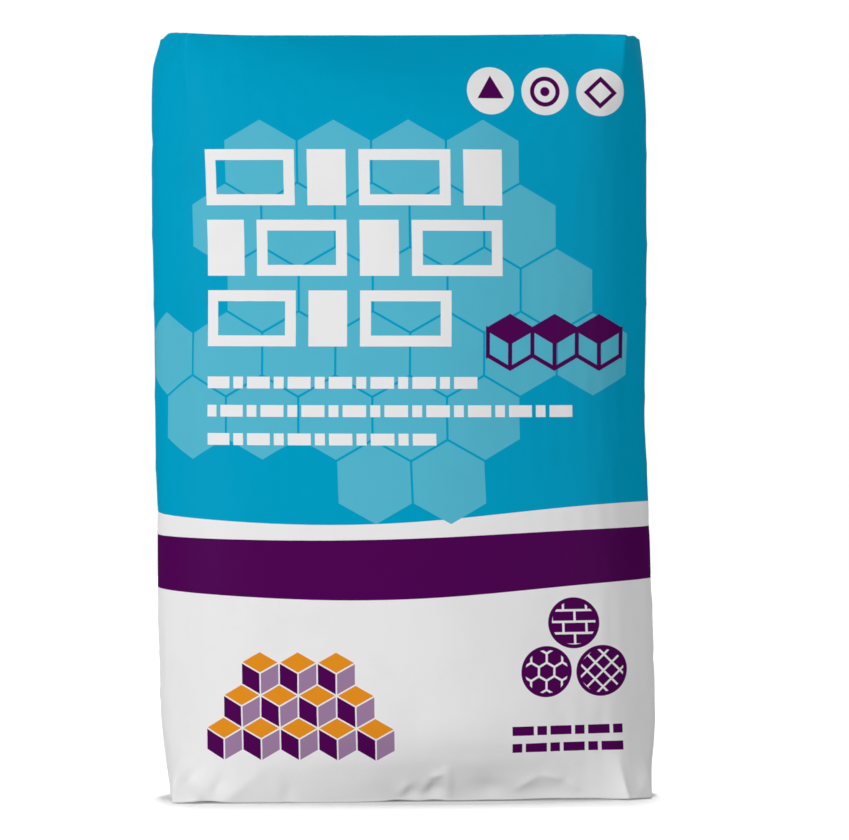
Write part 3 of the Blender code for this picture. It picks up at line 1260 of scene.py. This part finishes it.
# %% Brick courses
def courses(left, top, ends, pitch, height, long, short, gap, stroke=None):
    """Courses of long and short bricks in turn. Every second course starts with a short one.

    Each course has its own length, which `ends` lists from the top. With a stroke the long bricks are
    only outlines.
    """
    down = top - up
    course = (down / pitch).math("FLOOR", down / pitch)
    odd = course % 2
    period = long + short + 2 * gap
    along = (across - left + odd * (long + gap)) % period
    short_one = along > long + gap / 2
    centre = short_one * (long / 2 + gap + short / 2) + long / 2
    half = long / 2 - short_one * ((long - short) / 2)
    brick = box(along - centre, down % pitch - height / 2, half, height / 2)
    if stroke:
        brick = without(brick, brick + stroke + short_one * height)
    run = sum(((abs(course - number) < 0.5) * end for number, end in enumerate(ends)), course * 0)
    in_run = higher(left - across, across - left - run)
    in_height = higher(-down, down - len(ends) * pitch)
    return higher(brick, higher(in_run, in_height))

# %% Colours of the print
WHITE = (0.862, 0.852, 0.860, 1.0)
BLUE = (0.000, 0.343, 0.564, 1.0)
PALE_BLUE = (0.090, 0.475, 0.628, 1.0)
PURPLE = (0.078, 0.0015, 0.086, 1.0)
PALE_PURPLE = (0.330, 0.200, 0.345, 1.0)
ORANGE = (0.790, 0.276, 0.014, 1.0)


def curved_edge(height, tilt, sag, skew):
    """A line round the sack that rises to one side and sags near the middle of each face."""
    turn = around_mm * (2 * math.pi / SHEET_ROUND_MM)
    return sine(turn) * tilt - (turn * 2).math("COSINE", turn * 2) * sag + sine(turn * 2) * skew + height


blue_field = curved_edge(174.7, 3.1, 3.7, 2.5) - up
purple_band = higher(up - curved_edge(162.5, 2.5, 1.5, 1.0), curved_edge(128.0, 2.7, 3.6, 1.5) - up)
colour = mixed(ink(blue_field), WHITE, BLUE)
colour = mixed(ink(purple_band), colour, PURPLE)
inked = ink(lower(blue_field, purple_band))

# %% [markdown]
# ## Motifs
#
# The blue field carries a cluster of pale hexagons, three courses of white bricks with finer ones below,
# a row of purple blocks and three pale discs. The white foot carries a pile of blocks in purple and
# orange, three purple discs with line patterns, and two courses of fine bricks. All are plain geometry.

# %% Motifs of the blue field
LEFT_MARGIN = -124.5
HONEY, HONEY_JOINT = 45.0, 1.4
CLUSTER_X, CLUSTER_UP = -20, 300
CLUSTER_HALF_WIDTH, CLUSTER_HALF_HEIGHT = 122, 118
RAGGEDNESS = 0.16
cell_x, cell_y = in_honeycomb(across, up, HONEY)
hexagon_x, hexagon_up = across - cell_x, up - cell_y
beside = (hexagon_x - CLUSTER_X) / CLUSTER_HALF_WIDTH
above = (hexagon_up - CLUSTER_UP) / CLUSTER_HALF_HEIGHT
ragged = sine(hexagon_x * 0.045 + hexagon_up * 0.021) * RAGGEDNESS
outside = (length(beside, above) + ragged - 1) * 1000
cluster = higher(hexagon(cell_x, cell_y, HONEY - HONEY_JOINT), outside)
colour = mixed(ink(cluster), colour, PALE_BLUE)

large_bricks = courses(LEFT_MARGIN, 397.0, (180.8, 180.8, 149.5), 42.8, 34.0, 55.2, 23.5, 7.8, stroke=6.6)
small_bricks = courses(LEFT_MARGIN, 259.0, (165.4, 224.3, 140.2), 17.2, 7.2, 14.2, 6.0, 2.5)
colour = mixed(ink(lower(large_bricks, small_bricks)), colour, WHITE)

BLOCK, BLOCK_LINE, ROW_RIM = 27.6, 1.3, 1.2
BLOCKS_X, BLOCKS_UP = 88.6, 280
BLOCKS_HALF = 1.5 * BLOCK
block_x = (across - (BLOCKS_X - BLOCKS_HALF)) % BLOCK - BLOCK / 2
block_y = up - BLOCKS_UP
in_row = abs(across - BLOCKS_X) - (BLOCKS_HALF + ROW_RIM)
outer = hexagon(block_x, block_y, BLOCK)
lines = lower(abs(outer), cube_edges(block_x, block_y)) - BLOCK_LINE
top_face = higher(outer, abs(block_x) * 0.5 - block_y * SLOPE)
blocks = higher(higher(lower(lines, top_face), outer - BLOCK_LINE), in_row)
colour = mixed(ink(blocks), colour, PURPLE)

DISC_PITCH, DISC_RADIUS = 33.1, 14.2
DISCS_X, DISCS_UP = 83.35, 432.3
TRIANGLE, DIAMOND, DIAMOND_LINE = 4.6, 6.9, 2.4
TARGET, TARGET_LINE, TARGET_DOT = 9.0, 2.6, 2.8
disc_y = up - DISCS_UP
left_x, middle_x, right_x = (across - (DISCS_X + step * DISC_PITCH) for step in (-1, 0, 1))
discs = lower(lower(disc(left_x, disc_y, DISC_RADIUS), disc(middle_x, disc_y, DISC_RADIUS)),
              disc(right_x, disc_y, DISC_RADIUS))
colour = mixed(ink(discs), colour, WHITE)
triangle = higher(-disc_y, abs(left_x) * SLOPE + disc_y * 0.5) - TRIANGLE
target = lower(ring(disc(middle_x, disc_y, TARGET), TARGET_LINE), disc(middle_x, disc_y, TARGET_DOT))
diamond = ring((abs(right_x) + abs(disc_y)) * math.sqrt(0.5) - DIAMOND, DIAMOND_LINE)
colour = mixed(ink(lower(lower(triangle, target), diamond)), colour, PURPLE)

# %% Motifs of the white foot
PILE, PILE_JOINT = 23.2, 0.9
PILE_X, PILE_UP = -71.5, 38.5
PILE_ROWS, PILE_PEAK_ROW = 3, 4.9
pile_x, pile_y = in_honeycomb(across - PILE_X, up - PILE_UP, PILE)
row_up = (up - PILE_UP - pile_y) / (PILE * SLOPE)
from_pile = abs(across - PILE_X - pile_x)
in_rows = (abs(row_up - (PILE_ROWS - 1) / 2) - PILE_ROWS / 2) * 100
in_pile = higher(from_pile + (row_up - PILE_PEAK_ROW) * (PILE / 2), in_rows)
cube = higher(hexagon(pile_x, pile_y, PILE - PILE_JOINT), in_pile)
is_top = ink(abs(pile_x) * 0.5 - pile_y * SLOPE)
face_colour = mixed(is_top, mixed(ink(pile_x), PALE_PURPLE, PURPLE), ORANGE)
cubes = without(cube, cube_edges(pile_x, pile_y) - PILE_JOINT / 2)
colour = mixed(ink(cubes), colour, face_colour)

SMALL_RADIUS, SMALL_RIM = 15.6, 2.4
BRICK_ROW, BRICK_LINE = 7.0, 1.4
SMALL_HONEY, HONEY_LINE = 9.6, 0.65
TILE, TILE_LINE = 10.0, 1.8


def brick_lines(x, y):
    row = (y / BRICK_ROW).math("FLOOR", y / BRICK_ROW)
    joint = (x + (row % 2) * BRICK_ROW) % (2 * BRICK_ROW)
    return lower(joint, y % BRICK_ROW) - BRICK_LINE


def honeycomb_lines(x, y):
    return abs(hexagon(*in_honeycomb(x, y, SMALL_HONEY), SMALL_HONEY)) - HONEY_LINE


def tile_lines(x, y):
    return lower((x + y) % TILE, (x - y) % TILE) - TILE_LINE


foot_marks = courses(57.7, 46.5, (68.3, 68.3), 10.4, 5.6, 13.2, 6.0, 2.14)
for centre_x, centre_up, pattern in (
    (95.6, 109.0, brick_lines),
    (78.6, 79.5, honeycomb_lines),
    (112.6, 79.5, tile_lines),
):
    x, y = across - centre_x, up - centre_up
    small_disc = disc(x, y, SMALL_RADIUS)
    patterned = without(small_disc, higher(pattern(x, y), small_disc + SMALL_RIM))
    foot_marks = lower(foot_marks, patterned)
colour = mixed(ink(foot_marks), colour, PURPLE)

# %% [markdown]
# ## Surface of the printed paper
#
# Ink lies on the paper unevenly and makes it a little smoother. The fibres show as a fine grain. Along
# the folds of both ends the ink has rubbed off in specks.

# %% Grain, mottle and rubbed folds
GRAIN_SCALE = 850.0
MOTTLE_SCALE = 38.0
RUBBED_SCALE = 260.0
RUBBED_SHARE = 0.15
FIBRE_COLOUR = (0.80, 0.79, 0.77, 1.0)
LITTLE_SHINE = 0.012
grain = noise(place, GRAIN_SCALE, 4.0, 0.65)
mottle = noise(place, MOTTLE_SCALE, 3.0, 0.55)
from_fold = lower(abs(up_mm), abs(up_mm - 1000 * PAPER_UP))
rubbed = clamped(1.2 - from_fold * 0.8) * clamped(noise(place, RUBBED_SCALE, 3.0, 0.6) * 5 - 2.7)
colour = mixed(rubbed * RUBBED_SHARE, colour, FIBRE_COLOUR)
shade = clamped(mottle * 0.10 + grain * 0.05 + 0.925)
feed(
    printed_shader,
    Base_Color=darkened(colour, shade),
    Roughness=0.60 - inked * 0.10 + grain * 0.06,
    Normal=bump(grain + mottle * 3.0, 0.00006),
)
printed_shader.inputs["Specular IOR Level"].default_value = LITTLE_SHINE
sack.data.materials.append(printed_paper)
print("print:", len(printed_paper.node_tree.nodes), "shader nodes")

# %% [markdown]
# ## Floor and room
#
# The picture shows the sack on white paper that is lit so brightly that only a short shadow under the
# sack is left of it. The floor and the room therefore look white to the camera, and are much darker for
# the light that they throw back at the sack. Its front would lose its shading in an all white room.

# %% Make the floor and the room
FLOOR_HALF = 3.0
FLOOR_PALE = 0.80
FLOOR_THROWN_BACK = 0.05
FLOOR_GLOW = 0.24
ROOM_LIGHT = 0.09


def seen_by_camera(tree):
    """1 where the camera itself looks at the surface, and 0 for light that bounces off it."""
    return Field(tree.nodes.new("ShaderNodeLightPath").outputs["Is Camera Ray"])


def make_floor():
    corners = [(FLOOR_HALF * x, FLOOR_HALF * y, 0) for x, y in ((-1, -1), (1, -1), (1, 1), (-1, 1))]
    floor = mesh_object("floor", corners, [(0, 1, 2, 3)])
    material, shader, _ = new_material("pale floor")
    seen = seen_by_camera(material.node_tree)
    pale = seen * (FLOOR_PALE - FLOOR_THROWN_BACK) + FLOOR_THROWN_BACK
    feed(shader, Base_Color=pale, Emission_Color=seen * FLOOR_GLOW)
    shader.inputs["Emission Strength"].default_value = 1.0
    shader.inputs["Roughness"].default_value = 1.0
    shader.inputs["Specular IOR Level"].default_value = 0.0
    floor.data.materials.append(material)
    return floor


def make_room():
    world = bpy.data.worlds.new("white room")
    world.use_nodes = True
    background = world.node_tree.nodes["Background"]
    background.inputs["Color"].default_value = (1.0, 1.0, 1.0, 1.0)
    brightness = seen_by_camera(world.node_tree) * (1 - ROOM_LIGHT) + ROOM_LIGHT
    feed(background, Strength=brightness)
    bpy.context.scene.world = world


floor = make_floor()
make_room()
bpy.context.scene.view_settings.view_transform = "Standard"
print("room and floor made")

# %% [markdown]
# ## Lights
#
# Two soft lights stand level with the sack, a strong one to the left and a weaker one to the right. Level
# light shades the sloping paper at the top and the foot, and brings out the creases there. Two weak ones
# behind, and one above and behind that lights nothing but the sack, show in views of the back and the
# top. They are kept out of reflections, which would glare along the edges. A long, far strip overhead
# lights nothing but the floor, and its soft edge is the short shadow in front of the sack.

# %% Set the lights
LEFT_LIGHT = 170.0
RIGHT_LIGHT = 99.0
BACK_LIGHT = 40.0
TOP_LIGHT = 100.0
STRIP_LIGHT = 3500.0
LIGHT_DISTANCE = 4.0
LIGHT_HEIGHT = 0.27
SOFTBOX_SIZE = (1.4, 1.0)
TOP_PLACE = (0.0, 2.1, 3.7)
STRIP_X, STRIP_Y = -0.12, 1.0
STRIP_HEIGHT = 20.0
STRIP_SIZE = (0.8, 3.8)


def area_light(name, energy, place, target, size):
    data = bpy.data.lights.new(name, "AREA")
    data.energy = energy
    data.shape = "RECTANGLE"
    data.size, data.size_y = size
    light = bpy.data.objects.new(name, data)
    light.location = place
    light.visible_camera = False
    point_at(light, target)
    bpy.context.scene.collection.objects.link(light)
    return light


for name, energy, azimuth in (
    ("left softbox", LEFT_LIGHT, -54),
    ("right softbox", RIGHT_LIGHT, 48),
    ("left back softbox", BACK_LIGHT, -162),
    ("right back softbox", BACK_LIGHT, 162),
):
    stand = towards(math.radians(azimuth)) * LIGHT_DISTANCE + Vector((0, 0, LIGHT_HEIGHT))
    softbox = area_light(name, energy, stand, (0, 0, LIGHT_HEIGHT), SOFTBOX_SIZE)
    softbox.visible_glossy = abs(azimuth) < 90


def light_only(light, things):
    """Lets a light shine on those things and on nothing else."""
    lit = bpy.data.collections.new("lit by the " + light.name)
    for thing in things:
        lit.objects.link(thing)
    light.light_linking.receiver_collection = lit


top_light = area_light("top softbox", TOP_LIGHT, TOP_PLACE, (0, 0, LIGHT_HEIGHT), SOFTBOX_SIZE)
top_light.visible_glossy = False
light_only(top_light, (sack, top_cover, foot_cover, sleeve))
strip_place = (STRIP_X, STRIP_Y, STRIP_HEIGHT)
strip = area_light("overhead strip", STRIP_LIGHT, strip_place, (STRIP_X, STRIP_Y, 0), STRIP_SIZE)
light_only(strip, (floor,))

# %% [markdown]
# ## Attaching the pieces
#
# Each piece rides on the root body, and the imported solid that it stands for is hidden. The sack is
# soft paper over packed cement.

# %% Attach the pieces and hide the imported solids
for piece, slot, solid in (
    (sack, "printed_paper", "sack_body"),
    (top_cover, "patch_paper", "top_patch"),
    (foot_cover, "patch_paper", "bottom_patch"),
    (sleeve, "kraft_paper", "valve_sleeve"),
):
    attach(piece, "root")
    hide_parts(solid)
